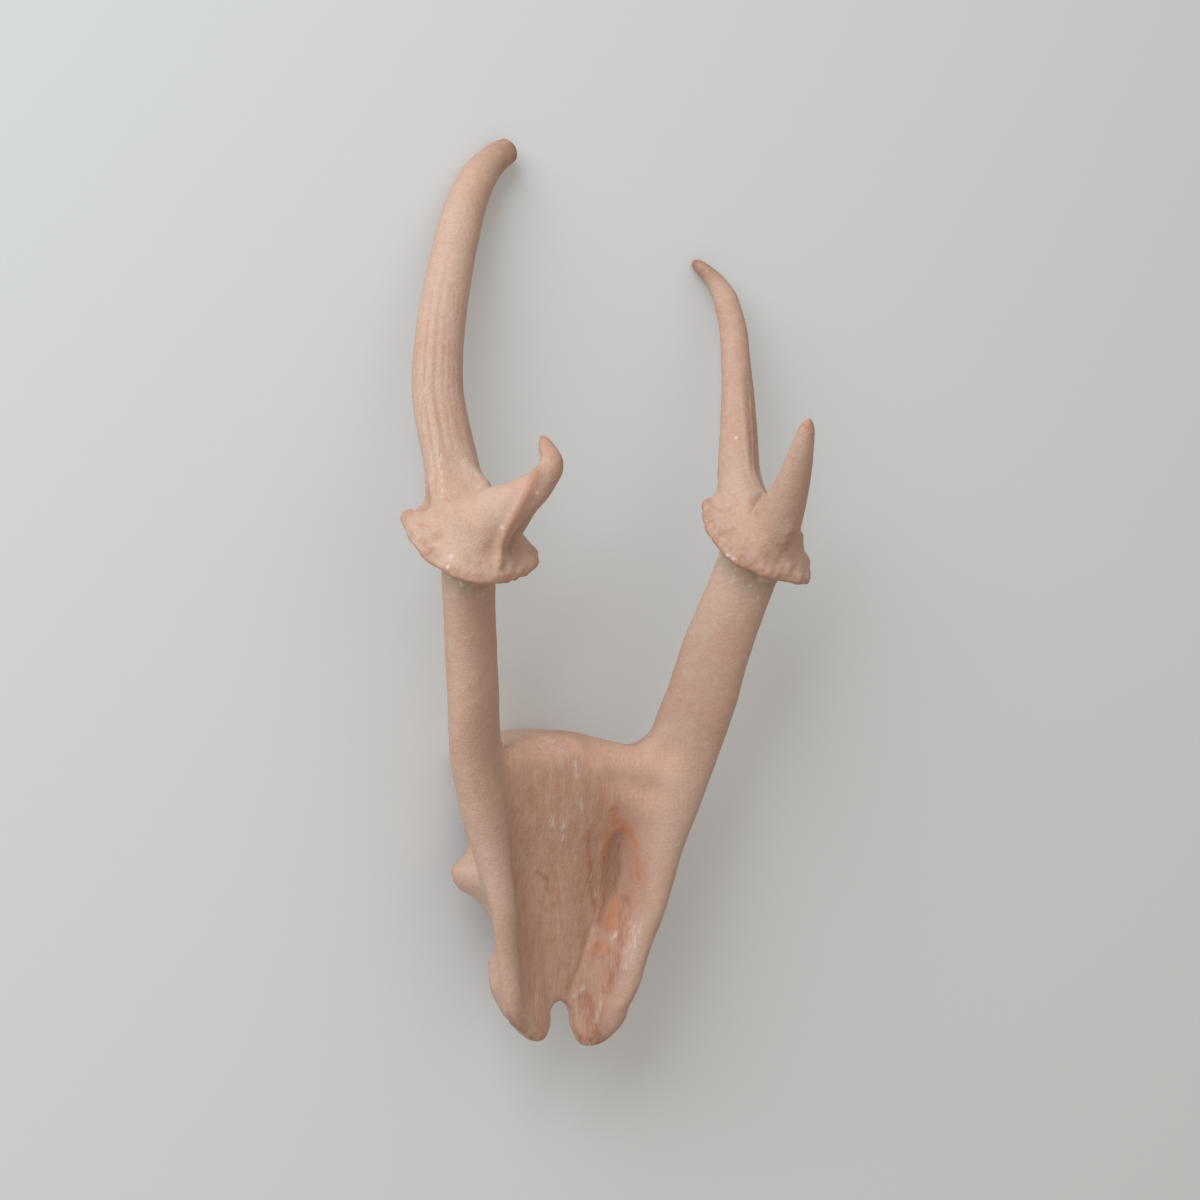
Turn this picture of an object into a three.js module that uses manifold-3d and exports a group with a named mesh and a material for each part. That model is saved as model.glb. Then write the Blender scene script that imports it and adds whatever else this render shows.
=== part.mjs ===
// A muntjac skull cap with its antlers: the sawn-off roof of a small deer's skull, its two long
// pedicles, and on each pedicle an antler with a coronet, a hooked beam and a brow tine.
//
// It is drawn in a brow frame, in millimetres: the origin lies on the midline at the head of the
// notch between the nose lobes, +Y runs up the brow to the antler tips, +Z points out of the
// forehead and +X to the right of someone facing it. The last lines lay it on its back on a
// table, where it rests on the rear edge of the saw cut and on the backs of both beams.
import * as THREE from "three";
import { mergeVertices } from "three/addons/utils/BufferGeometryUtils.js";
import Module from "manifold-3d";

const wasm = await Module();
wasm.setup();

// Driving dimensions

const JOINT_GAP = 0.3; // between pieces that meet face to face
const REST_TILT = 6.6; // degrees that the brow dips when the cap lies on its back

// The roof of the skull, from the nose lobes to the nape. Each row is a cross-section at y: the
// height of the midline, then outward distance and height of the groove beside it, of the foot
// of the brow ridge, and of the flank that falls away below the ridge.
const ROOF_SECTIONS = [
  { y: -26, midline: -8, groove: [7, -7], foot: [15, -7], flank: [26, -12] },
  { y: -17, midline: -1.5, groove: [7, 2], foot: [17, 2.5], flank: [27, -8] },
  { y: -10, midline: -0.5, groove: [7, 2.5], foot: [22.5, 6], flank: [30, -8] },
  { y: 0, midline: 1, groove: [9, 2], foot: [23.5, 7], flank: [31, -9] },
  { y: 12, midline: 2.5, groove: [12, 2], foot: [24.5, 8], flank: [33, -10] },
  { y: 26, midline: 4, groove: [17, 2], foot: [28, 10], flank: [37, -12] },
  { y: 42, midline: 6.5, groove: [20, 4], foot: [32, 10.5], flank: [42, -14] },
  { y: 58, midline: 10.8, groove: [21, 9], foot: [35, 12], flank: [45, -14] },
  { y: 70, midline: 12.6, groove: [19, 11.5], foot: [34, 12.6], flank: [44, -16] },
  { y: 78, midline: 10.4, groove: [16, 9.4], foot: [32, 10.6], flank: [41, -18] },
  { y: 83, midline: 4, groove: [12, 2.5], foot: [27, 1], flank: [37, -22] },
  { y: 87, midline: -9, groove: [11, -11], foot: [20, -18], flank: [30, -28] },
  { y: 89, midline: -30, groove: [10, -30], foot: [18, -30], flank: [26, -30] },
];
const ROOF_FOOT = -45; // the loft runs on below the saw cut, which trims it
const ROOF_SIDES = 36;
const ROOF_STEPS = 28;

// The outline of the cap seen from the front, from the notch round each nose lobe, past the lump
// at the corner of the eye, the eye socket and the spur behind it, to the nape
const CAP_OUTLINE = {
  right: [
    [4.4, -5.5],
    [4.8, -12],
    [9.5, -18],
    [17.5, -16.5],
    [23.5, -8],
    [24.5, 2],
    [24.6, 9],
    [26, 16],
    [29, 29],
    [35.5, 40],
    [28, 48],
    [32, 61],
    [34.5, 72],
    [31.5, 77.5],
    [24, 79.8],
    [15, 82.3],
    [7, 84.6],
  ],
  left: [
    [3.6, -5.5],
    [3.6, -10.5],
    [8, -15],
    [13, -12.5],
    [19, -6],
    [24.5, 2],
    [24.6, 9],
    [26, 16],
    [29, 29],
    [35.5, 40],
    [28, 48],
    [32, 61],
    [34.5, 70],
    [31, 76.5],
    [24, 80.8],
    [15, 83.9],
    [7, 85.3],
  ],
  notchHead: -2.2,
  nape: 85.3,
};

// The saw cut that took the cap off the skull, and the hollows that it opened
const SAW = { y: -13, z: -1.5, slope: 9.5 };
const BRAIN_HOLLOW = { at: [0, 57, -22], radii: [21, 24, 27] };
const SIDE_HOLLOWS = [
  { name: "eye socket", at: [33, 20.8, -12], radii: [15.5, 14, 16] },
  { name: "temple", at: [40, 62, -14], radii: [13, 17, 16] },
];

// Brow ridges and pedicles: outward, along, forward, from the nose up to the coronet. The section
// is an oval whose long way leans forward.
const PEDICLE_KNOTS = [
  [13, -11, 2.5],
  [20, -5.5, 5.6],
  [23.2, 2, 7.3],
  [25.7, 14.5, 8.8],
  [29.5, 29, 12],
  [33.2, 46, 11.1],
  [37, 63, 10.9],
  [40.8, 79.5, 12],
  [44.8, 96, 16.8],
  [48, 112, 20.2],
  [52, 128, 25],
  [57, 148, 31.5],
];
const PEDICLE_BROAD = [1, 2.4, 3.2, 3.9, 4.4, 6.6, 10, 12, 11.7, 11.2, 10.7, 10.4];
const PEDICLE_NARROW = [1, 2.4, 3, 3.3, 3.7, 5.3, 6.9, 7, 7.2, 7.4, 7.5, 7.6];
const PEDICLE_LEAN = 35; // degrees from straight outward towards straight forward
const PEDICLE_FORK = 0.72; // share of the way along where the pedicle leaves the skull
const PEDICLE_SWAY = 0.01; // how far the head leans to its right, per millimetre along

// The web between the back of the dome and each pedicle: outward, along, forward and radius
const WEB_KNOTS = [
  [18, 74, 3, 5],
  [26, 75.3, 5.5, 5],
  [32.5, 78.5, 8.5, 5.6],
  [40, 87, 12, 5.5],
];

// Antlers: each knot is outward, along, forward and radius. A coronet's rim is its radius at even
// steps round from +X by way of the front.
const ANTLERS = {
  left: {
    side: -1,
    coronet: {
      at: [54.5, 144.5, 31],
      axis: [0.05, 0.8, 0.6],
      rim: [20.5, 21.5, 20, 20, 21, 20.3, 19.6, 22, 21.5, 19.5, 19, 19.5],
    },
    beam: [
      [54.5, 145, 31, 13],
      [56, 157, 26, 10.2],
      [54.6, 169, 21.2, 8.5],
      [56.8, 192, 16.5, 8],
      [54.5, 215, 14.8, 7.5],
      [46.4, 242, 11.3, 6.7],
      [39.4, 258, 9, 6],
      [31.5, 267.5, 8, 4.9],
      [22.5, 273, 8, 3.8],
    ],
    tine: [
      [54.5, 147, 33, 13],
      [51.8, 153.5, 43, 9.6],
      [49.2, 158.3, 51.5, 6.5],
      [46.2, 163.4, 58, 4.6],
      [44.5, 168.6, 61.5, 3.6],
      [45, 173.5, 60, 2.5],
      [45.2, 178.3, 56.5, 1.1],
    ],
  },
  right: {
    side: 1,
    coronet: {
      at: [58.5, 146.5, 30],
      axis: [0.13, 0.72, 0.68],
      rim: [19, 19.5, 20.3, 18.6, 20.4, 22.2, 21.3, 21.3, 22, 19, 18, 18],
    },
    beam: [
      [57.5, 146, 31, 12],
      [56.5, 158, 26, 9],
      [57.2, 169, 21.9, 7.1],
      [59.6, 184.5, 18.5, 6.1],
      [61.8, 203, 14.6, 5],
      [62, 224.8, 10.5, 3.9],
      [60.8, 231.5, 7.8, 3.4],
      [57.4, 237.6, 4.3, 2.5],
      [53.8, 242, 0.4, 1.5],
    ],
    tine: [
      [57.2, 146, 34, 11],
      [56.6, 153.5, 43, 8.2],
      [54.8, 161.5, 51, 6.2],
      [52.6, 169.5, 58, 4.8],
      [50.6, 177.5, 64, 3.5],
      [48.9, 186, 69.5, 2],
    ],
  },
};
const TINE_FORK = 0.3; // share of the way along where the brow tine leaves the antler
const TIP_ROUNDING = { beam: 0.04, tine: 0.12 }; // share of the way along that rounds off the tip
const FORK_GAP = { pedicle: 0.002, tine: 0.008 }; // shares of the way that make the joint gap

// How finely each limb is faceted along its way, and the coronet round its rim
const FACETS = { ridge: 18, shaft: 14, web: 6, beam: 32, tineRoot: 8, tine: 14, coronet: 36 };

const BONE = { color: 0xc39e8a, roughness: 0.75, metalness: 0 };

// Shapes

const vector = (xyz) => new THREE.Vector3(...xyz);

// A point given as outward, along and forward, on one side of the head.
const onSide = (side, [outward, along, forward]) => new THREE.Vector3(side * outward, along, forward);

// A smooth function from 0..1 through evenly spaced numbers.
function smooth(numbers) {
  const curve = new THREE.CatmullRomCurve3(
    numbers.map((n) => new THREE.Vector3(n, 0, 0)),
    false,
    "catmullrom",
  );
  return (t) => curve.getPoint(t).x;
}

// A closed tube: a unit cylinder whose wall is moved, ring by ring, to place(around, along).
function loft(sides, steps, place) {
  const geometry = new THREE.CylinderGeometry(1, 1, 1, sides, steps);
  const position = geometry.getAttribute("position");
  const point = new THREE.Vector3();
  for (let i = 0; i < position.count; i++) {
    point.fromBufferAttribute(position, i);
    const along = THREE.MathUtils.clamp(point.y + 0.5, 0, 1);
    const isCapCentre = Math.hypot(point.x, point.z) < 0.5;
    const around = Math.round((Math.atan2(point.x, point.z) / (2 * Math.PI) + 1) * sides) / sides;
    if (isCapCentre) {
      point.set(0, 0, 0);
      for (let k = 0; k < sides; k++) point.addScaledVector(place(k / sides, along), 1 / sides);
    } else {
      point.copy(place(around % 1, along));
    }
    position.setXYZ(i, point.x, point.y, point.z);
  }
  return geometry;
}

// A limb of bone along a curve through points, from one share of the way to another, with an
// oval section: broad half-width along lean, narrow half-width across it, both functions of the
// share. A tip share above 0 rounds off the far end.
function limb({ points, broad, narrow, lean, from = 0, to = 1, tip = 0, sides = 16, steps = 24 }) {
  const path = new THREE.CatmullRomCurve3(points, false, "catmullrom");
  return loft(sides, steps, (around, along) => {
    const share = from + (to - from) * along;
    const tangent = path.getTangent(share);
    const broadWay = lean.clone().addScaledVector(tangent, -lean.dot(tangent)).normalize();
    const narrowWay = new THREE.Vector3().crossVectors(tangent, broadWay);
    const past = tip > 0 ? Math.max(0, (share - 1 + tip) / tip) : 0;
    const round = Math.sqrt(Math.max(0.005, 1 - past * past));
    const angle = 2 * Math.PI * around;
    return path
      .getPoint(share)
      .addScaledVector(broadWay, broad(share) * round * Math.cos(angle))
      .addScaledVector(narrowWay, narrow(share) * round * Math.sin(angle));
  });
}

// A closed geometry as a solid that can be joined and cut.
function solid(geometry) {
  geometry.deleteAttribute("normal");
  geometry.deleteAttribute("uv");
  const welded = mergeVertices(geometry, 1e-4);
  return new wasm.Manifold(
    new wasm.Mesh({
      numProp: 3,
      vertProperties: welded.getAttribute("position").array,
      triVerts: new Uint32Array(welded.index.array),
    }),
  );
}

// A large block whose top face lies on a plane, for cutting away all that is below it.
function blockBelow(point, normal) {
  const size = 400;
  const block = new THREE.BoxGeometry(size, size, size).translate(0, 0, -size / 2);
  const turn = new THREE.Quaternion().setFromUnitVectors(new THREE.Vector3(0, 0, 1), normal);
  return solid(block.applyQuaternion(turn).translate(point.x, point.y, point.z));
}

function ellipsoid(centre, radii) {
  return solid(
    new THREE.SphereGeometry(1, 22, 14).scale(...radii).translate(centre.x, centre.y, centre.z),
  );
}

// A finished solid as a named mesh in bone.
function boneMesh(name, made) {
  const { vertProperties, triVerts } = made.getMesh();
  const geometry = new THREE.BufferGeometry();
  geometry.setAttribute("position", new THREE.BufferAttribute(vertProperties, 3));
  geometry.setIndex(new THREE.BufferAttribute(triVerts, 1));
  geometry.computeVertexNormals();
  const mesh = new THREE.Mesh(geometry, new THREE.MeshStandardMaterial(BONE));
  mesh.name = name;
  return mesh;
}

// A round limb through knots, on one side of the head.
function roundLimb(side, knots, range) {
  const radius = smooth(knots.map((knot) => knot[3]));
  return solid(
    limb({
      points: knots.map((knot) => onSide(side, knot)),
      broad: radius,
      narrow: radius,
      lean: new THREE.Vector3(side, 0, 0),
      ...range,
    }),
  );
}

// The skull cap

function roof() {
  const column = (pick) => smooth(ROOF_SECTIONS.map(pick));
  const y = column((s) => s.y);
  const midline = column((s) => s.midline);
  const lines = ["flank", "foot", "groove"].map((line) => ({
    outward: column((s) => s[line][0]),
    height: column((s) => s[line][1]),
  }));
  const topShare = 0.85; // of the points round each section, the rest close it underneath
  return loft(ROOF_SIDES, ROOF_STEPS, (around, along) => {
    const half = lines.map((line) => [line.outward(along), line.height(along)]);
    const right = [...half];
    const left = right.map(([outward, height]) => [-outward, height]);
    const across = [...left, [0, midline(along)], ...right.reverse()];
    const top = new THREE.CatmullRomCurve3(
      across.map(([x, z]) => new THREE.Vector3(x, 0, z)),
      false,
      "centripetal",
    );
    const under = (around - topShare) / (1 - topShare);
    const at = around <= topShare ? top.getPoint(around / topShare) : new THREE.Vector3();
    if (around > topShare) at.set(half[0][0] * (1 - 2 * under), 0, ROOF_FOOT);
    return new THREE.Vector3(at.x, y(along), at.z);
  });
}

const sway = (point) => point.setX(point.x + PEDICLE_SWAY * point.y);

function pedicle(side, from, to, steps) {
  const lean = THREE.MathUtils.degToRad(PEDICLE_LEAN);
  return solid(
    limb({
      points: PEDICLE_KNOTS.map((knot) => sway(onSide(side, knot))),
      broad: smooth(PEDICLE_BROAD),
      narrow: smooth(PEDICLE_NARROW),
      lean: new THREE.Vector3(side * Math.cos(lean), 0, Math.sin(lean)),
      from,
      to,
      steps,
    }),
  );
}

// The outline of the cap as a tall block, to trim the roof with.
function outlineBlock() {
  const { left, right, notchHead, nape } = CAP_OUTLINE;
  const points = [
    new THREE.Vector2(0, notchHead),
    ...right.map(([outward, along]) => new THREE.Vector2(outward, along)),
    new THREE.Vector2(0, nape),
    ...left.toReversed().map(([outward, along]) => new THREE.Vector2(-outward, along)),
    new THREE.Vector2(0, notchHead),
  ];
  const outline = new THREE.Shape();
  outline.moveTo(0, notchHead);
  outline.splineThru(points.slice(1));
  const options = { depth: 90, bevelEnabled: false, curveSegments: 3 };
  return solid(new THREE.ExtrudeGeometry(outline, options).translate(0, 0, -50));
}

const sawNormal = new THREE.Vector3(0, 0, 1).applyAxisAngle(
  new THREE.Vector3(1, 0, 0),
  THREE.MathUtils.degToRad(-SAW.slope),
);

function skullCap() {
  let cap = solid(roof()).intersect(outlineBlock());
  for (const side of [-1, 1]) {
    for (const { at, radii } of SIDE_HOLLOWS) cap = cap.subtract(ellipsoid(onSide(side, at), radii));
    cap = cap.add(pedicle(side, 0, PEDICLE_FORK, FACETS.ridge));
    cap = cap.add(roundLimb(side, WEB_KNOTS, { steps: FACETS.web, sides: 12 }));
  }
  cap = cap.subtract(blockBelow(new THREE.Vector3(0, SAW.y, SAW.z), sawNormal));
  return cap.subtract(ellipsoid(vector(BRAIN_HOLLOW.at), BRAIN_HOLLOW.radii));
}

// The antlers

// The lobed collar at the foot of the antler: a profile turned about the antler's axis, outward in
// shares of the rim's radius there and up in shares of the rim's first radius.
function coronet({ side, coronet: { at, axis, rim } }) {
  const profile = [
    [0, 0],
    [0.5, 0],
    [0.9, -0.06],
    [1, 0.03],
    [0.97, 0.14],
    [0.82, 0.22],
    [0.66, 0.4],
    [0.54, 0.7],
    [0, 0.85],
  ].map(([r, z]) => new THREE.Vector2(r, z));
  const collar = new THREE.LatheGeometry(profile, FACETS.coronet);
  const position = collar.getAttribute("position");
  const round = new THREE.CatmullRomCurve3(
    rim.map((r) => new THREE.Vector3(r, 0, 0)),
    true,
  );
  for (let i = 0; i < position.count; i++) {
    const [x, y, z] = [position.getX(i), position.getY(i), position.getZ(i)];
    const turned = (Math.atan2(z, x) / (2 * Math.PI) + 1) % 1;
    const radius = round.getPoint(turned).x;
    position.setXYZ(i, x * radius, y * rim[0], z * radius);
  }
  const up = onSide(side, axis).normalize();
  const turn = new THREE.Quaternion().setFromUnitVectors(new THREE.Vector3(0, 1, 0), up);
  const foot = onSide(side, at);
  return solid(collar.applyQuaternion(turn).translate(foot.x, foot.y, foot.z));
}

function antler(form) {
  return coronet(form)
    .add(roundLimb(form.side, form.beam, { tip: TIP_ROUNDING.beam, steps: FACETS.beam }))
    .add(roundLimb(form.side, form.tine, { to: TINE_FORK, steps: FACETS.tineRoot }));
}

// Both the shaft of each pedicle and the foot of its antler stop at the plane under the coronet.
function seat({ side, coronet: { at, axis } }, gap) {
  const up = onSide(side, axis).normalize();
  return { point: onSide(side, at).addScaledVector(up, gap), up };
}

// The whole object

const skull = new THREE.Group();
skull.add(boneMesh("skull_cap", skullCap()));
for (const [name, form] of Object.entries(ANTLERS)) {
  const above = seat(form, -JOINT_GAP);
  const shaft = pedicle(form.side, PEDICLE_FORK + FORK_GAP.pedicle, 1, FACETS.shaft).subtract(
    blockBelow(above.point, above.up.clone().negate()),
  );
  const below = seat(form, 0);
  const horn = antler(form).subtract(blockBelow(below.point, below.up));
  skull.add(boneMesh(`${name}_pedicle`, shaft));
  skull.add(boneMesh(`${name}_antler`, horn));
  const tineRange = { from: TINE_FORK + FORK_GAP.tine, tip: TIP_ROUNDING.tine, steps: FACETS.tine };
  skull.add(boneMesh(`${name}_brow_tine`, roundLimb(form.side, form.tine, tineRange)));
}

skull.rotation.x = THREE.MathUtils.degToRad(-REST_TILT);
const part = new THREE.Group();
part.add(skull);
const box = new THREE.Box3().setFromObject(part, true);
skull.position.set(-(box.min.x + box.max.x) / 2, -(box.min.y + box.max.y) / 2, -box.min.z);

export default part;
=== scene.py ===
"""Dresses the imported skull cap. The skull plate with its pedicles, and each antler, become one
seamless sculpted mesh with the bone's ridges, furrows, pits and brush marks, on a pale floor."""

import math

import bmesh
import bpy
import numpy as np
from mathutils import Matrix, Vector


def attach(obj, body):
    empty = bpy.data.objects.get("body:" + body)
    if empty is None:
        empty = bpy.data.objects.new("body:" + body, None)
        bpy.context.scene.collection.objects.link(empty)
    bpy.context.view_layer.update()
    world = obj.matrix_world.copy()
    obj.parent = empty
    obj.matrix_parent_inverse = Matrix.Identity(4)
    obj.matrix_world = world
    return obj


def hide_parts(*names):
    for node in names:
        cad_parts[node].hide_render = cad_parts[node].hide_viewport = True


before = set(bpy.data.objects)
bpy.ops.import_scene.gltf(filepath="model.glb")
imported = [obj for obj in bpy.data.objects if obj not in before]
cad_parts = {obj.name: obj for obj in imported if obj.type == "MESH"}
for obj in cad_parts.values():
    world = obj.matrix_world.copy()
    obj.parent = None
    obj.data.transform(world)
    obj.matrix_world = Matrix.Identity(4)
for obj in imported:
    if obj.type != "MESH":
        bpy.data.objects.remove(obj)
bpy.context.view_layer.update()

# Sizes and places below are in millimetres. The frame is in metres.
MM_PER_M = 1000

# The brow frame: x to the right of someone facing the forehead, y up the brow to the antler tips,
# z out of the forehead. At rest the brow dips towards the antlers.
REST_TILT = math.radians(6.6)
BROW_ORIGIN = np.array([-1.337, -128.035, 27.672])
BROW_AXES = np.array(
    [
        [1, 0, 0],
        [0, math.cos(REST_TILT), math.sin(REST_TILT)],
        [0, -math.sin(REST_TILT), math.cos(REST_TILT)],
    ]
)

# How fine the sculpted meshes are, and how far the parts of one bone are grown to close the gaps
PLATE_VOXEL = 0.8
ANTLER_VOXEL = 0.7
SEAM_OVERLAP = 0.25

# The plane of the saw cut: its z where y is 0, and how far it falls for each millimetre of y
SAW_HEIGHT = -3.68
SAW_FALL = 0.1673

# Places on the antlers, in the brow frame. Lines stand proud or are sunk: points along each,
# half-width, height, and how much lighter or, below 0, how much darker. Lighter is chalky streaks
# and painted highlight along crests; darker is a stain on the tip, elsewhere painted shade in
# creases and grooves. Knobs and dents: centre, radius and height; dents get painted shade too.
# Lifts: centre, radius and how far it is moved. A crease stays sharp. Specks and glints: centre
# and radius; white flecks and painted glints, which are also glossier. The furrowed side of the
# beam is an angle from +x towards +z, in radians.
LEFT_ANTLER = {
    "coronet": {"at": (-54.5, 144.5, 31), "axis": (-0.05, 0.8, 0.6), "radius": 20.5},
    "beam": [
        (-54.5, 145, 31),
        (-56, 157, 26),
        (-54.6, 169, 21),
        (-56.8, 192, 16.5),
        (-54.5, 215, 15),
        (-46.4, 242, 11),
        (-39.4, 258, 9),
        (-31.5, 267.5, 8),
        (-22.5, 273, 8),
    ],
    "furrowed_side": {"angle": 2.6, "half_angle": 1.1, "depth": 0.25},
    "lines": [
        (
            [(-47.5, 171, 63), (-51, 161, 59), (-53.7, 151, 52), (-54, 144, 47), (-55, 134, 48)],
            1.6,
            1.7,
            0,
        ),
        ([(-44, 168, 63), (-46.5, 159, 56), (-48.5, 146, 48), (-48, 139, 46)], 2.2, -1.8, -0.5),
        ([(-50.8, 163.2, 34), (-57, 159, 37.5), (-63.3, 154, 42)], 1.3, 0.3, 0.6),
        ([(-55.5, 172, 29.5), (-53, 166.8, 31), (-49, 161, 32)], 2, 0.25, 0.7),
        ([(-64, 195, 19.5), (-63.8, 178, 19.8)], 0.8, 0.3, 0.7),
        ([(-64.4, 186, 17.5), (-63.3, 174, 17)], 0.7, 0.25, 0.6),
        ([(-62.8, 175, 22), (-64.1, 162, 24.5)], 0.8, 0.3, 0.7),
        ([(-62, 182, 23.5), (-61.4, 171, 25.7), (-63.4, 163, 29.4), (-67.5, 153, 35.5)], 0.8, 0.4, 0.9),
        ([(-59.8, 175, 26.5), (-60.2, 162, 31)], 1.5, -0.15, -0.5),
        ([(-45.2, 182, 54), (-44.8, 172, 61.5), (-47, 163, 60)], 3.5, 0, -0.3),
    ],
    "knobs": [
        ((-50, 163.5, 33.5), 4.5, 2.6),
        ((-66.2, 158, 21.5), 4, -2.4),
        ((-60, 145, 46.6), 2.5, 0.6),
        ((-72.2, 144.9, 34.4), 1.8, -1.6),
        ((-69.2, 146.9, 35.8), 1.8, -1.8),
        ((-72, 150.2, 30.5), 2, 0.9),
        ((-73, 143.1, 37.2), 1.7, 1.1),
        ((-65.5, 141, 43.6), 2.8, 0.7),
        ((-39, 140, 43.5), 2.2, 1.4),
        ((-45, 143.5, 44.5), 2.4, -0.7),
    ],
    "lifts": [
        ((-72.5, 152, 22.5), 5, (-0.2, 2.2, 0)),
    ],
    "crease": [(-66, 161, 20), (-68, 156, 26), (-66, 153, 33), (-62, 150, 39)],
    "specks_and_glints": [
        ((-68, 141, 41.8), 0.6),
        ((-69.6, 138, 42.7), 0.5),
        ((-55.4, 150.4, 50.8), 0.5),
        ((-49.2, 160.5, 60.6), 0.5),
    ],
}
RIGHT_ANTLER = {
    "coronet": {"at": (58.5, 146.5, 30), "axis": (0.13, 0.72, 0.68), "radius": 20},
    "beam": [
        (57.5, 146, 31),
        (57, 169, 22),
        (59.6, 184.5, 18.5),
        (61.8, 203, 14.6),
        (62, 225, 10.5),
        (57.4, 237.6, 4.3),
        (53.8, 242, 0.4),
    ],
    "furrowed_side": {"angle": 1.0, "half_angle": 0.6, "depth": 0.4},
    "lines": [
        ([(59, 163.5, 33), (53.5, 161, 36.8), (49.5, 158.4, 39.3), (47, 155, 39)], 0.8, -0.6, -0.7),
        (
            [(49, 163, 49.3), (49.1, 159.3, 45.8), (49.1, 157.5, 43.5), (48.3, 155.5, 41.3)],
            1.3,
            0.7,
            0.3,
        ),
        ([(62.6, 206, 19), (61, 192, 22.6), (59.7, 180, 26), (60, 167, 29.5)], 1.8, -0.35, -0.5),
        ([(60.5, 206, 20.3), (58.5, 190, 23.8), (57, 178, 26.5), (55.5, 165, 29.5)], 1.1, 0.35, 0.4),
        ([(57.5, 150, 50.5), (58, 147, 48), (59.5, 143.5, 45)], 1.8, -1.2, 0),
        ([(54, 158, 52), (55.5, 151, 51), (56.5, 145, 47)], 1.6, 0.6, 0.3),
        ([(37, 149.2, 32), (40.5, 150, 35.5), (44.5, 150.8, 38)], 0.9, -0.8, -0.3),
        ([(38, 151, 31.5), (41, 152, 34), (46, 152, 38)], 0.8, 0.4, 0.5),
        ([(37.5, 154, 27.5), (41.5, 154.5, 31)], 0.9, -0.8, -0.3),
    ],
    "knobs": [
        ((43.6, 159.7, 22), 1.6, 1.0),
        ((41.6, 158.2, 24.3), 1.2, -1.2),
        ((39.5, 156.2, 26.7), 1.5, 1.1),
        ((39, 154.3, 28.3), 1.0, -0.9),
        ((38, 152.5, 30.2), 1.4, 0.9),
        ((66, 141, 43), 4, 0.8),
    ],
    "lifts": [
        ((69, 152.5, 41), 4.5, (-2, -0.8, -0.5)),
        ((70, 137, 42), 5, (0.3, -1.3, 0)),
        ((57.8, 226.5, 9.5), 4.5, (-0.8, 0, -0.5)),
        ((63.2, 217, 16), 6, (0.6, 0, 0.4)),
    ],
    "crease": [(58, 166, 34), (53, 161, 40), (49, 157, 42), (46, 152, 40)],
    "specks_and_glints": [
        ((38.9, 142.4, 39.4), 0.6),
        ((40.4, 141.4, 40.6), 0.6),
        ((57.9, 141.3, 44.2), 0.6),
        ((59.3, 139.6, 44), 0.7),
        ((54.4, 181.5, 24), 0.4),
    ],
}

# Places on the forehead, as x and y in the brow frame. The edges are y, then x of the left ridge's
# foot and of the right-hand edge of the brushed panel.
BROW_EDGES = [
    (-14, -11, 14),
    (-6, -16, 15.5),
    (5, -18, 17.5),
    (13, -20, 20),
    (23, -23.5, 22.8),
    (33, -25, 25.3),
    (44, -26, 26.5),
    (50, -27, 24),
    (56, -28, 19),
    (65, -29, 13.4),
    (72, -30, 9.6),
    (77, -30, 5),
    (83, -30, 2.8),
]
CREST = [(1, 84.5), (2.8, 82), (5, 77), (9.6, 71.8), (13.4, 65), (15, 58)]
CREST_HALF_WIDTH = 2.0
PIT = [(18.8, 54), (19.8, 49), (20.4, 42), (20.4, 35), (19.3, 28), (17.5, 19)]
PIT_HALF_WIDTHS = [2.4, 4, 4.6, 4, 2.6, 1.5]
SUTURE = [(14, 24), (11.6, 20), (8.4, 11.2), (4.7, 2.6), (1.9, -1.9)]
SUTURE_HALF_WIDTH = 1.4
RING = {"at": (13.9, 13.8), "radius": 2.3, "half_width": 0.7}

# Brushed and rubbed marks, and painted light, on the forehead: start, end and half-width
# The lighter marks are chalky lumps and rubs, with painted highlight on glossy spots and along the
# right ridge
PALE_MARKS = [
    ((-7.4, 83.4), (-5.6, 80.3), 1.6),
    ((-1.5, 75.9), (-1.2, 71), 0.6),
    ((-0.1, 63), (1.6, 59.2), 0.7),
    ((-10.5, 58), (-8, 55), 1.0),
    ((-4.6, 55.4), (-4.3, 50), 0.9),
    ((23.5, 21.5), (21.7, 12), 1.1),
    ((21.7, 12), (20.4, 7.5), 0.8),
    ((20.5, 19.5), (17.6, 17), 0.7),
    ((13.4, -4), (10.7, -12.4), 0.5),
    ((7.6, -17), (11.3, -17.3), 0.9),
    ((8.7, 1.4), (4.5, -1.7), 0.8),
    ((-10.7, 0.2), (-10.6, -3), 0.7),
    ((10.3, 38), (12.4, 31.3), 0.7),
]
ORANGE_MARKS = [
    ((14.6, 59), (16, 54.5), 2.6),
    ((18, 55.5), (22, 52.5), 2.0),
    ((23, 52), (25.2, 47), 0.9),
    ((14, 51.5), (14.6, 45.5), 1.4),
    ((25.4, 43), (25.6, 36), 0.5),
    ((19.8, 29.5), (18.6, 24), 1.0),
    ((18.4, 24.5), (17.6, 21), 1.6),
    ((13.2, 14.5), (14.6, 13), 1.2),
]
RUST_MARKS = [
    ((5.1, 53), (8.2, 42.5), 1.2),
    ((8.2, 42.5), (12.8, 27), 1.4),
    ((14.6, 44), (15.6, 30), 1.0),
    ((15.6, 30), (14.5, 23), 1.2),
    ((22.3, 30), (20.5, 20), 1.8),
    ((20.3, 19), (18.6, 9), 1.6),
    ((18.6, 9), (15.5, 0), 1.6),
    ((-18, 83.5), (3, 85), 1.0),
    ((4, -15), (17, -17), 1.6),
    ((9, -2), (12, -13), 3),
]
DARK_MARKS = [
    ((20.3, 47), (20.6, 38), 2.2),
    ((20.6, 38), (19.3, 31), 1.6),
    ((-11.9, 40.4), (-7.8, 37.7), 0.4),
    ((-7.8, 37.7), (-7.4, 34), 0.4),
]
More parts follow.
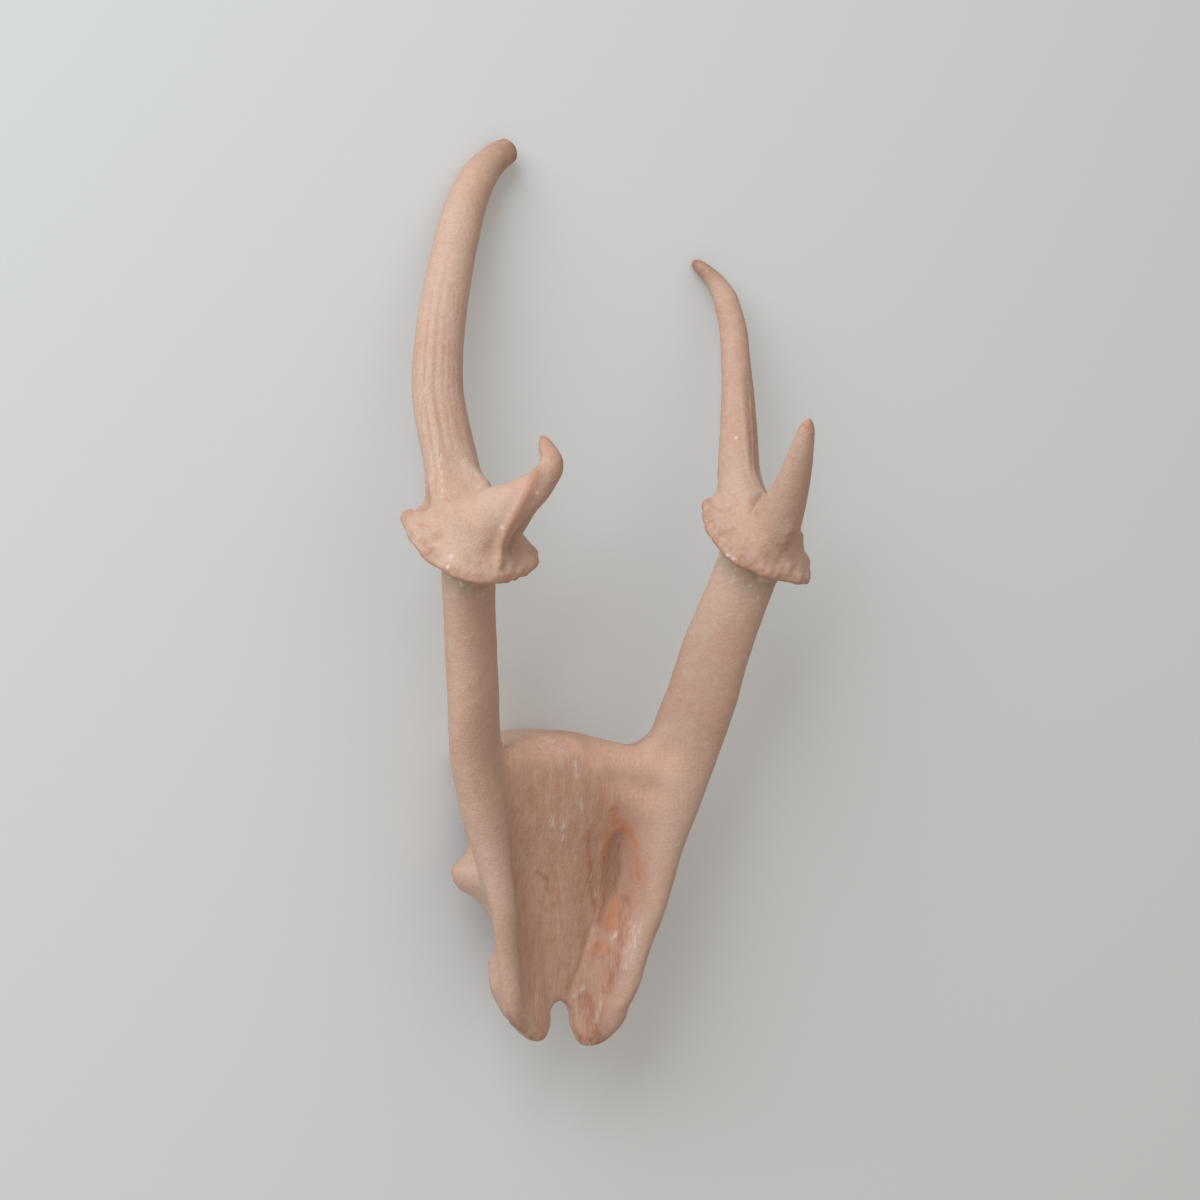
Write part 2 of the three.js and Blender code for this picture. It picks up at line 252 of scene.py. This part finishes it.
# Painted light: lighter patches over the dome and the saddle, where the light falls on them
PAINTED_LIGHT_PATCHES = [
    ((-26, 80), (0, 81.5), 5),
    ((8, 77), (30, 75), 6),
    ((15, 67), (26, 63), 5),
]

# How far each form of the forehead stands proud or, below 0, is sunk
BROW_HEIGHTS = {
    "pit": -1.6,
    "crest": 0.5,
    "suture": -0.6,
    "ring": 0.4,
    "pale_marks": 0.2,
    "dark_marks": -0.3,
    "grain": 0.08,
}
LOBE_FILL = 0.9
NOTCH_CUT = 0.4

# How strongly the pit and the ring are stained, and how dark the painted shade in the dents of the
# antlers is
PIT_STAIN = 0.55
RING_STAIN = 0.75
DENT_SHADE = 0.25

# Unevenness of the bone: height, the size of its lumps, how many finer layers it has, and a seed
BROW_GRAIN = {"size": np.array([2.5, 9, 2.5]), "octaves": 2, "seed": 3}
PLATE_WAVES = {"height": 0.15, "size": 11, "octaves": 3, "seed": 9}
BAND_CRUST = {"height": 0.35, "size": 2.2, "octaves": 2, "seed": 5}
RIM_LUMPS = {"height": 0.6, "size": 5, "octaves": 3, "seed": 13}
ANTLER_WAVES = {"height": 0.12, "size": 9, "octaves": 3, "seed": 2}

# Furrows of the beam: how many fit round it, how often they change along it, and their seed
FURROWS_ROUND = 4
FURROWS_ALONG = 2.2
FURROW_SEED = 5

# How far from its line a crease is kept from being filled
CREASE_REACH = 5


def to_brow(points):
    """From metres in the row's frame to millimetres in the brow frame."""
    return (points * MM_PER_M - BROW_ORIGIN) @ BROW_AXES


def to_row(points):
    """From millimetres in the brow frame to metres in the row's frame."""
    return (points @ BROW_AXES.T + BROW_ORIGIN) / MM_PER_M


# Noise and shaping helpers, on arrays of points

# Large odd numbers that scramble the cells of a grid
CELL_FACTORS = np.array([374761393, 668265263, 1103515245])
SEED_FACTOR = 974711
SCRAMBLE_FACTOR = 1274126177


def lattice(cell, seed):
    """A number from -1 to 1 for each cell of a grid, the same on every run."""
    mixed = cell @ CELL_FACTORS + seed * SEED_FACTOR
    mixed = (mixed ^ (mixed >> 13)) * SCRAMBLE_FACTOR & 0xFFFFFFFF
    return ((mixed ^ (mixed >> 16)) & 0xFFFF) / 32767.5 - 1


def noise(points, seed):
    """Smooth noise from -1 to 1 with features about one unit across."""
    cell = np.floor(points).astype(np.int64)
    part = points - cell
    ease = part * part * (3 - 2 * part)
    total = np.zeros(len(points))
    for corner in np.ndindex(2, 2, 2):
        weight = np.where(corner, ease, 1 - ease).prod(1)
        total += weight * lattice(cell + corner, seed)
    return total


def uneven(points, size, octaves, seed, height=1.0):
    """Noise with lumps about size across, and finer lumps on them."""
    points = points / size
    return height * sum(noise(points * 2**k, seed + k) / 2**k for k in range(octaves))


def ramp(value, start, end):
    """0 before start, 1 after end, and smooth between them."""
    share = np.clip((value - start) / (end - start), 0, 1)
    return share * share * (3 - 2 * share)


def hump(value, centre, half_width):
    """1 at the centre, fading smoothly to 0 on both sides."""
    return np.exp(-(((value - centre) / half_width) ** 2))


def near(points, centre, radius):
    """1 at a place, fading to 0 all round it."""
    return hump(np.linalg.norm(points - centre, axis=1), 0, radius)


def along_path(points, knots):
    """Each point's share along a polyline, its distance from it and its angle round it."""
    knots = np.array(knots, float)
    lengths = np.linalg.norm(np.diff(knots, axis=0), axis=1)
    before = np.concatenate([[0], np.cumsum(lengths)])
    share = np.zeros(len(points))
    offset = np.zeros_like(points)
    nearest = np.full(len(points), np.inf)
    for k, length in enumerate(lengths):
        step = (knots[k + 1] - knots[k]) / length
        walked = np.clip((points - knots[k]) @ step, 0, length)
        away = points - knots[k] - walked[:, None] * step
        distance = np.linalg.norm(away, axis=1)
        closer = distance < nearest
        nearest[closer] = distance[closer]
        share[closer] = (before[k] + walked[closer]) / before[-1]
        offset[closer] = away[closer]
    return share, nearest, np.arctan2(offset[:, 2], offset[:, 0])


def on_line(points, knots, half_width):
    """1 on a line through knots, fading to 0 beside it and towards its ends."""
    share, away, _ = along_path(points, knots)
    return hump(away, 0, half_width) * ramp(share, 0, 0.15) * (1 - ramp(share, 0.85, 1))


def on_brow(points, knots, half_width):
    """The same for a line drawn on the forehead, given as x and y."""
    return on_line(points * [1, 1, 0], [(x, y, 0) for x, y in knots], half_width)


def marked(points, marks):
    """Where any of the short strokes in marks lies."""
    total = np.zeros(len(points))
    for start, end, half_width in marks:
        knots = [(*start, 0), (*end, 0)]
        away = along_path(points * [1, 1, 0], knots)[1]
        total = np.maximum(total, hump(away, 0, half_width))
    return total


# Sculpting


class Sculpt:
    """A fine closed mesh made from CAD nodes, worked on as arrays in the brow frame."""

    def __init__(self, name, nodes, voxel):
        self.object = fine_copy(name, nodes, voxel)
        mesh = self.object.data
        points = np.empty(len(mesh.vertices) * 3)
        mesh.vertices.foreach_get("co", points)
        self.points = to_brow(points.reshape(-1, 3))
        self.edges = np.empty(len(mesh.edges) * 2, np.int64)
        mesh.edges.foreach_get("vertices", self.edges)
        self.edges = self.edges.reshape(-1, 2)
        self.faces = np.empty(len(mesh.loops), np.int64)
        mesh.loops.foreach_get("vertex_index", self.faces)
        self.faces = self.faces.reshape(-1, 4)
        self.masks = {}

    def gather(self, index, values):
        """Adds up values, three numbers each, at the vertices that index names."""
        size = len(self.points)
        return np.stack([np.bincount(index, values[:, k], size) for k in range(3)], 1)

    def normals(self):
        """Each vertex's outward direction, from the four-sided faces round it."""
        corner = self.points[self.faces]
        face = np.cross(corner[:, 2] - corner[:, 0], corner[:, 3] - corner[:, 1])
        total = sum(self.gather(self.faces[:, k], face) for k in range(4))
        return total / np.maximum(np.linalg.norm(total, axis=1), 1e-9)[:, None]

    def smooth(self, rounds, fill, shave, free=1.0):
        """Evens the surface. fill is how fast hollows rise, shave how fast crests are worn, and
        free how far each vertex may take part."""
        start, end = self.edges.T
        degree = np.bincount(self.edges.ravel(), minlength=len(self.points))[:, None]
        for _ in range(rounds):
            around = self.gather(start, self.points[end]) + self.gather(end, self.points[start])
            move = around / degree - self.points
            normal = self.normals()
            rise = (move * normal).sum(1, keepdims=True)
            speed = np.where(rise > 0, fill, shave)
            self.points += free * (0.5 * (move - rise * normal) + speed * rise * normal)

    def push(self, amount):
        """Moves each vertex out along its normal."""
        self.points += self.normals() * amount[:, None]

    def sharp_rims(self):
        """1 on sharp crests and rims, 0 on flat and hollow places."""
        start, end = self.edges.T
        normal = self.normals()
        tilt = ((self.points[end] - self.points[start]) * (normal[end] - normal[start])).sum(1)
        length = np.linalg.norm(self.points[end] - self.points[start], axis=1)
        bend = tilt / length**2
        size = len(self.points)
        total = np.bincount(start, bend, size) + np.bincount(end, bend, size)
        return ramp(total / np.bincount(self.edges.ravel(), minlength=size), 0.1, 0.35)

    def finish(self, material):
        """Puts the worked points and the masks back on the mesh, and the piece on its body."""
        mesh = self.object.data
        mesh.vertices.foreach_set("co", to_row(self.points).ravel())
        for name, values in self.masks.items():
            mask = mesh.attributes.new(name, "FLOAT", "POINT")
            mask.data.foreach_set("value", np.clip(values, 0, 1).astype(np.float32))
        mesh.polygons.foreach_set("use_smooth", np.ones(len(mesh.polygons), bool))
        mesh.materials.clear()
        mesh.materials.append(material)
        mesh.update()
        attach(self.object, "root")


def fine_copy(name, nodes, voxel):
    """The named CAD nodes grown into each other and remeshed as one fine skin."""
    joined = bmesh.new()
    for node in nodes:
        joined.from_mesh(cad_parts[node].data)
    bmesh.ops.remove_doubles(joined, verts=joined.verts, dist=1e-6)
    joined.normal_update()
    for vert in joined.verts:
        vert.co += vert.normal * SEAM_OVERLAP / MM_PER_M
    rough = bpy.data.objects.new(name + "_rough", bpy.data.meshes.new(name + "_rough"))
    joined.to_mesh(rough.data)
    joined.free()
    bpy.context.scene.collection.objects.link(rough)
    remesh = rough.modifiers.new("remesh", "REMESH")
    remesh.mode = "VOXEL"
    remesh.voxel_size = voxel / MM_PER_M
    evaluated = rough.evaluated_get(bpy.context.evaluated_depsgraph_get())
    skin = bpy.data.meshes.new_from_object(evaluated)
    bpy.data.objects.remove(rough)
    made = bpy.data.objects.new(name, skin)
    bpy.context.scene.collection.objects.link(made)
    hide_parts(*nodes)
    return made


# The skull plate with its pedicles


def skull_plate(material):
    """The roof of the skull and its two pedicles, as one bone."""
    plate = Sculpt("skull_plate", ["skull_cap", "left_pedicle", "right_pedicle"], PLATE_VOXEL)
    plate.smooth(rounds=5, fill=0.5, shave=0.5)
    near_saw = 1 - ramp(over_saw(plate.points), 0.5, 3)
    plate.smooth(rounds=50, fill=0.6, shave=0.06, free=1 - 0.75 * near_saw[:, None])
    front = ramp(plate.normals()[:, 2], 0.15, 0.45)
    points = plate.points.copy()
    band = pedicle_band(points)
    relief = front * brow_relief(points) + (1 - front) * nose_rim(points)
    relief += uneven(points, **PLATE_WAVES) + band * uneven(points, **BAND_CRUST)
    plate.push(relief)
    brow = front * panel(points)
    plate.masks = {
        "brow": brow,
        "orange": front * np.maximum(marked(points, ORANGE_MARKS), RING_STAIN * ring(points)),
        "rust": front * marked(points, RUST_MARKS),
        "dark": front * np.maximum(marked(points, DARK_MARKS), PIT_STAIN * eye_pit(points)),
        "pale": front * marked(points, PALE_MARKS),
        "painted_light": front * marked(points, PAINTED_LIGHT_PATCHES),
        "band": band,
        "porous": 0.5 * brow,
        "rim_shade": plate.sharp_rims(),
    }
    plate.finish(material)


def brow_relief(points):
    """Heights of the forms on the forehead."""
    forms = {
        "pit": eye_pit(points),
        "crest": on_brow(points, CREST, CREST_HALF_WIDTH),
        "suture": on_brow(points, SUTURE, SUTURE_HALF_WIDTH),
        "ring": ring(points),
        "pale_marks": marked(points, PALE_MARKS),
        "dark_marks": marked(points, DARK_MARKS),
        "grain": panel(points) * uneven(points, **BROW_GRAIN),
    }
    return sum(BROW_HEIGHTS[name] * form for name, form in forms.items())


def over_saw(points):
    """Height over the saw cut."""
    return points[:, 2] - SAW_HEIGHT + SAW_FALL * points[:, 1]


def nose_rim(points):
    """Fills out the left nose lobe and opens the notch between the lobes."""
    x, y, _ = points.T
    lobe = ramp(-x, 8, 13) * (1 - ramp(y, -6, 2))
    notch = (1 - ramp(np.abs(x - 0.5), 5, 7)) * (1 - ramp(y, -1, 2))
    return LOBE_FILL * lobe - NOTCH_CUT * notch


def eye_pit(points):
    """The long flat-bottomed pit on the forehead above the right eye."""
    share, away, _ = along_path(points * [1, 1, 0], [(x, y, 0) for x, y in PIT])
    half_width = np.interp(share, np.linspace(0, 1, len(PIT)), PIT_HALF_WIDTHS)
    across = np.exp(-((away / half_width) ** 3))
    return across * ramp(share, 0, 0.15) * (1 - 0.7 * ramp(share, 0.5, 1))


def ring(points):
    """A small raised ring at the lower end of the pit."""
    spread = np.linalg.norm(points[:, :2] - RING["at"], axis=1)
    return hump(spread, RING["radius"], RING["half_width"])


def panel(points):
    """The brushed panel of the forehead between the ridges."""
    x, y, _ = points.T
    rows, left, right = np.array(BROW_EDGES, float).T
    from_left = ramp(x - np.interp(y, rows, left), -1, 2.5)
    to_right = 1 - ramp(x - np.interp(y, rows, right), -2, 1.5)
    return from_left * to_right * (1 - ramp(y, 79, 86))


def pedicle_band(points):
    """The rough ring on each pedicle just under its coronet."""
    band = np.zeros(len(points))
    for form in (LEFT_ANTLER, RIGHT_ANTLER):
        height, spread = over_coronet(points, form["coronet"])
        close = (1 - ramp(-height, 7, 13)) * ramp(-height, -4, 0)
        band = np.maximum(band, close * (1 - ramp(spread, 14, 22)))
    return band


# The antlers


def over_coronet(points, coronet):
    """Each point's height over the plane under a coronet, and its distance from the axis."""
    axis = np.array(coronet["axis"]) / np.linalg.norm(coronet["axis"])
    height = (points - coronet["at"]) @ axis
    return height, np.linalg.norm(points - coronet["at"] - height[:, None] * axis, axis=1)


def dots(points, places):
    """Where any of the small round places lies."""
    total = np.zeros(len(points))
    for centre, radius in places:
        total = np.maximum(total, near(points, centre, radius))
    return total


def beam_furrows(points, form):
    """How furrowed each point is, and its level from 0 in a furrow to 1 between furrows."""
    share, away, angle = along_path(points, form["beam"])
    side = form["furrowed_side"]
    turned = np.angle(np.exp(1j * (angle - side["angle"])))
    furrowed = hump(turned, 0, side["half_angle"]) * (1 - ramp(away, 11, 14))
    furrowed *= ramp(share, 0.06, 0.16) * (1 - ramp(share, 0.4, 0.7))
    across = [FURROWS_ROUND * np.cos(angle), FURROWS_ROUND * np.sin(angle), FURROWS_ALONG * share]
    return furrowed, ramp(np.abs(noise(np.stack(across, 1), FURROW_SEED)), 0, 0.45)


def antler_relief(points, form):
    """Heights of the furrows, lines and knobs, and how much lighter and darker they are: chalky
    streaks and painted highlight on crests, a stain on the tip, painted shade in furrows, creases
    and dents.
    """
    furrowed, level = beam_furrows(points, form)
    relief = form["furrowed_side"]["depth"] * furrowed * (level - 1)
    # Painted highlight on the crests between the furrows, and painted shade down in the furrows
    pale = 0.3 * furrowed * ramp(level, 0.7, 1)
    dark = 0.5 * furrowed * (1 - ramp(level, 0, 0.5))
    # Sunk lines darken: a stain on the tip, elsewhere painted shade in creases and grooves. Raised
    # lines lighten: chalky streaks and painted highlight.
    for knots, half_width, rise, light in form["lines"]:
        on = on_line(points, knots, half_width)
        relief += rise * on
        pale = np.maximum(pale, light * on)
        dark = np.maximum(dark, -light * on)
    for centre, radius, rise in form["knobs"]:
        on = near(points, centre, radius)
        relief += rise * on
        # Dents are darkened with painted shade
        dark = np.maximum(dark, -DENT_SHADE * rise * on)
    return relief, pale, dark


def antler(name, nodes, form, material):
    """One antler and its brow tine, as one horn."""
    horn = Sculpt(name, nodes, ANTLER_VOXEL)
    horn.smooth(rounds=3, fill=0.5, shave=0.5)
    height, spread = over_coronet(horn.points, form["coronet"])
    radius = form["coronet"]["radius"]
    rim = ramp(spread, 0.5 * radius, 0.85 * radius) * (1 - ramp(height, 6, 14))
    crease = on_line(horn.points, form["crease"], CREASE_REACH)
    fill = 0.6 * (1 - 0.95 * crease[:, None])
    shave = 0.03 * (1 - 0.85 * rim[:, None])
    horn.smooth(rounds=70, fill=fill, shave=shave)
    points = horn.points.copy()
    relief, pale, dark = antler_relief(points, form)
    horn.push(relief + rim * uneven(points, **RIM_LUMPS) + uneven(points, **ANTLER_WAVES))
    for centre, reach, move in form["lifts"]:
        horn.points += near(points, centre, reach)[:, None] * move
    along_beam = along_path(points, form["beam"])[0]
    horn.masks = {
        "pale": pale,
        "dark": dark,
        "tip": ramp(along_beam, 0.84, 0.98),
        "porous": ramp(spread, 4, 10) * (1 - ramp(height, 20, 60)),
        "speck_and_glint": dots(points, form["specks_and_glints"]),
        "rim_shade": horn.sharp_rims(),
    }
    horn.finish(material)


# Material

# Colours as linear red, green, blue and cover
TAN = (0.56, 0.385, 0.298, 1)
PINK = (0.53, 0.338, 0.255, 1)
CREAM = (0.62, 0.455, 0.365, 1)
BROWN = (0.5, 0.285, 0.207, 1)
DUSTY = (0.6, 0.38, 0.287, 1)
RUST = (0.48, 0.245, 0.165, 1)
SIENNA = (0.42, 0.195, 0.125, 1)
ORANGE = (0.56, 0.24, 0.125, 1)
UMBER = (0.3, 0.155, 0.1, 1)
CHALK = (0.74, 0.61, 0.52, 1)
MOSS = (0.46, 0.375, 0.28, 1)
# Near-white of the white flecks and of the painted glints
GLINT = (0.9, 0.84, 0.78, 1)
# Pink of the painted light on the dome and the saddle
BLUSH = (0.78, 0.485, 0.365, 1)
FLOOR_COLOUR = (0.8, 0.85, 0.87, 1)

# Strokes change along the brow this many times as fast as across it, so they are long and thin.
STROKE_STRETCH = 0.14
PORES_PER_MM = 0.33
BUMP_DEPTH = 0.4


class Graph:
    """Builds a material's node graph from short calls."""

    def __init__(self, material):
        self.tree = material.node_tree

    def node(self, kind, inputs, output=0, **settings):
        """Adds a node, links or sets its inputs, and gives one of its outputs."""
        made = self.tree.nodes.new(kind)
        for name, value in settings.items():
            setattr(made, name, value)
        for name, value in inputs.items():
            socket = made.inputs[name]
            if isinstance(value, bpy.types.NodeSocket):
                self.tree.links.new(value, socket)
            else:
                socket.default_value = value
        return made.outputs[output]

    def mask(self, name):
        """One of the masks kept on the mesh."""
        return self.node("ShaderNodeAttribute", {}, "Fac", attribute_name=name)

    def noise(self, place, size, detail, distortion=0.0):
        """Noise with features about size millimetres across."""
        inputs = {"Vector": place, "Scale": 1 / size, "Detail": detail, "Distortion": distortion}
        return self.node("ShaderNodeTexNoise", inputs)

    def step(self, value, low, high, top=1.0, bottom=0.0):
        """bottom below low, top above high, and smooth between."""
        inputs = {"Value": value, "From Min": low, "From Max": high, "To Min": bottom, "To Max": top}
        return self.node("ShaderNodeMapRange", inputs, interpolation_type="SMOOTHSTEP")

    def math(self, operation, a, b):
        return self.node("ShaderNodeMath", {0: a, 1: b}, operation=operation)

    def times(self, a, b):
        return self.math("MULTIPLY", a, b)

    def mix(self, share, a, b):
        """Colour a where share is 0, and colour b where it is 1."""
        return self.node("ShaderNodeMix", {0: share, 6: a, 7: b}, 2, data_type="RGBA")


def bone_grain(graph):
    """The noises that the bone's colour and bump are made of."""
    place = graph.node("ShaderNodeTexCoord", {}, "Object")
    turned = {"Vector": place, "Rotation": (REST_TILT, 0, 0), "Scale": [MM_PER_M] * 3}
    brow_place = graph.node("ShaderNodeMapping", turned)
    drawn_out = {"Vector": brow_place, "Scale": (1, STROKE_STRETCH, 1)}
    along = graph.node("ShaderNodeMapping", drawn_out)
    return {
        "cloud": graph.noise(brow_place, size=26, detail=3),
        "mottle": graph.noise(brow_place, size=3, detail=5),
        "fine": graph.noise(brow_place, size=0.8, detail=3),
        "strokes": graph.noise(along, size=0.8, detail=4, distortion=0.6),
        "wide_strokes": graph.noise(along, size=3.5, detail=3, distortion=0.8),
        "pores": graph.node("ShaderNodeTexVoronoi", {"Vector": brow_place, "Scale": PORES_PER_MM}),
    }


def bare_bone(graph, grain):
    """The smooth mottled skin, the brushed forehead, and painted shade along the sharp rims."""
    mottle = grain["mottle"]
    skin = graph.mix(graph.step(grain["cloud"], 0.38, 0.62), TAN, PINK)
    skin = graph.mix(graph.step(mottle, 0.4, 0.75, 0.4), skin, CREAM)
    skin = graph.mix(graph.step(grain["fine"], 0.35, 0.65, 0.3), skin, RUST)
    brushed = graph.mix(graph.step(grain["strokes"], 0.3, 0.7), BROWN, DUSTY)
    brushed = graph.mix(graph.step(grain["wide_strokes"], 0.42, 0.62, 0.6), brushed, RUST)
    brushed = graph.mix(graph.step(mottle, 0.4, 0.7, 0.5), brushed, DUSTY)
    colour = graph.mix(graph.times(graph.mask("brow"), 0.9), skin, brushed)
    # Painted shade: sharp rims and crests darkened in a rusty tone
    return graph.mix(graph.times(graph.mask("rim_shade"), 0.75), colour, RUST)


def marked_bone(graph, grain, colour):
    """Stains, rubs, flecks and pores over the bare bone, and painted light: highlights and glints,
    shade in hollows, and lighter patches where light falls.
    """
    mottle = grain["mottle"]
    strokes = grain["strokes"]
    marks = (
        ("rust", graph.step(strokes, 0.6, 0.4, 0.95, 0.45), SIENNA),
        # Stains; on the antlers also painted shade in furrows, creases and dents
        ("dark", graph.step(strokes, 0.3, 0.65, 0.9, 0.4), UMBER),
        ("orange", graph.step(mottle, 0.3, 0.6, 1.0, 0.6), ORANGE),
        ("band", graph.step(mottle, 0.35, 0.55, 0.75, 0.1), MOSS),
        ("band", graph.step(mottle, 0.54, 0.66, 0.6), CHALK),
        ("tip", graph.step(mottle, 0.3, 0.6, 0.7, 0.3), UMBER),
        # Painted light over the dome and the saddle
        ("painted_light", graph.step(strokes, 0.35, 0.65, 1.0, 0.6), BLUSH),
        # Chalky streaks, and painted highlight on crests and glossy spots
        ("pale", graph.step(strokes, 0.42, 0.6, 0.65, 0.1), CHALK),
        # White flecks and painted glints
        ("speck_and_glint", graph.step(grain["fine"], 0.2, 0.6, 0.9, 0.5), GLINT),
        ("porous", graph.step(grain["pores"], 0.1, 0.05, 0.6), UMBER),
    )
    for mask, share, paint in marks:
        colour = graph.mix(graph.times(graph.mask(mask), share), colour, paint)
    return colour


def bone_bump(graph, grain):
    """Fine pitting all over, and brush lines on the forehead."""
    pitting = graph.math("ADD", graph.times(grain["fine"], 0.5), graph.times(grain["mottle"], 0.6))
    brushing = graph.times(grain["strokes"], graph.times(graph.mask("brow"), 0.4))
    height = graph.math("ADD", pitting, brushing)
    inputs = {"Strength": 0.9, "Distance": BUMP_DEPTH / MM_PER_M, "Height": height}
    return graph.node("ShaderNodeBump", inputs)


def bone_material(name):
    """One weathered bone for every piece. Each piece's masks say where the marks show."""
    material = bpy.data.materials.new(name)
    material.use_nodes = True
    graph = Graph(material)
    grain = bone_grain(graph)
    worn = graph.step(grain["mottle"], 0.3, 0.7, 0.8, 0.6)
    outputs = {
        "Base Color": marked_bone(graph, grain, bare_bone(graph, grain)),
        "Roughness": graph.math("SUBTRACT", worn, graph.times(graph.mask("speck_and_glint"), 0.4)),
        "Normal": bone_bump(graph, grain),
    }
    shader = material.node_tree.nodes["Principled BSDF"]
    for socket, output in outputs.items():
        material.node_tree.links.new(output, shader.inputs[socket])
    shader.inputs["Specular IOR Level"].default_value = 0.35
    return material


# Stage

# The floor, in metres
FLOOR_WIDTH = 6


def floor():
    bpy.ops.mesh.primitive_plane_add(size=FLOOR_WIDTH)
    plane = bpy.context.object
    plane.name = "floor"
    material = bpy.data.materials.new("floor")
    material.use_nodes = True
    shader = material.node_tree.nodes["Principled BSDF"]
    shader.inputs["Base Color"].default_value = FLOOR_COLOUR
    shader.inputs["Roughness"].default_value = 0.9
    plane.data.materials.append(material)


# The camera looks square at the brow's long axis, from the viewer's left. Its target is in the
# brow frame, and its lens belongs to a sensor of this width.
VIEW_YAW = math.radians(35)
VIEW_TARGET = np.array([0, 128, 23.4])
VIEW_DISTANCE = 1000
VIEW_LENS = 93.75
SENSOR_WIDTH = 36

view_right = BROW_AXES @ [math.cos(VIEW_YAW), 0, math.sin(VIEW_YAW)]
view_up = BROW_AXES @ [0, 1, 0]
view_back = BROW_AXES @ [-math.sin(VIEW_YAW), 0, math.cos(VIEW_YAW)]


def camera():
    data = bpy.data.cameras.new("camera")
    data.lens = VIEW_LENS
    data.sensor_width = SENSOR_WIDTH
    made = bpy.data.objects.new("camera", data)
    bpy.context.scene.collection.objects.link(made)
    turn = Matrix(np.stack([view_right, view_up, view_back], 1).tolist()).to_4x4()
    place = to_row(VIEW_TARGET) + view_back * VIEW_DISTANCE / MM_PER_M
    made.matrix_world = Matrix.Translation(Vector(place)) @ turn
    bpy.context.scene.camera = made


def soft_light(name, direction, distance, size, power, colour):
    """An area light, with its distance and size in metres, in a direction given as right, up and
    towards the camera."""
    data = bpy.data.lights.new(name, "AREA")
    data.size = size
    data.energy = power
    data.color = colour
    made = bpy.data.objects.new(name, data)
    bpy.context.scene.collection.objects.link(made)
    way = view_right * direction[0] + view_up * direction[1] + view_back * direction[2]
    way /= np.linalg.norm(way)
    made.location = to_row(VIEW_TARGET) + way * distance
    made.rotation_euler = Vector(way).to_track_quat("Z", "Y").to_euler()


def daylight(strength, colour):
    """Even light from all round."""
    world = bpy.data.worlds.new("daylight")
    world.use_nodes = True
    sky = world.node_tree.nodes["Background"]
    sky.inputs["Color"].default_value = (*colour, 1)
    sky.inputs["Strength"].default_value = strength
    bpy.context.scene.world = world


bone = bone_material("bone")
skull_plate(bone)
antler("left_antler_bone", ["left_antler", "left_brow_tine"], LEFT_ANTLER, bone)
antler("right_antler_bone", ["right_antler", "right_brow_tine"], RIGHT_ANTLER, bone)
floor()
camera()
soft_light(
    "window",
    direction=(-0.38, 0.54, 0.75),
    distance=1.5,
    size=1.2,
    power=20,
    colour=(0.97, 1.04, 1.1),
)
daylight(strength=0.48, colour=(1, 0.9, 0.82))
bpy.context.scene.view_settings.view_transform = "Standard"
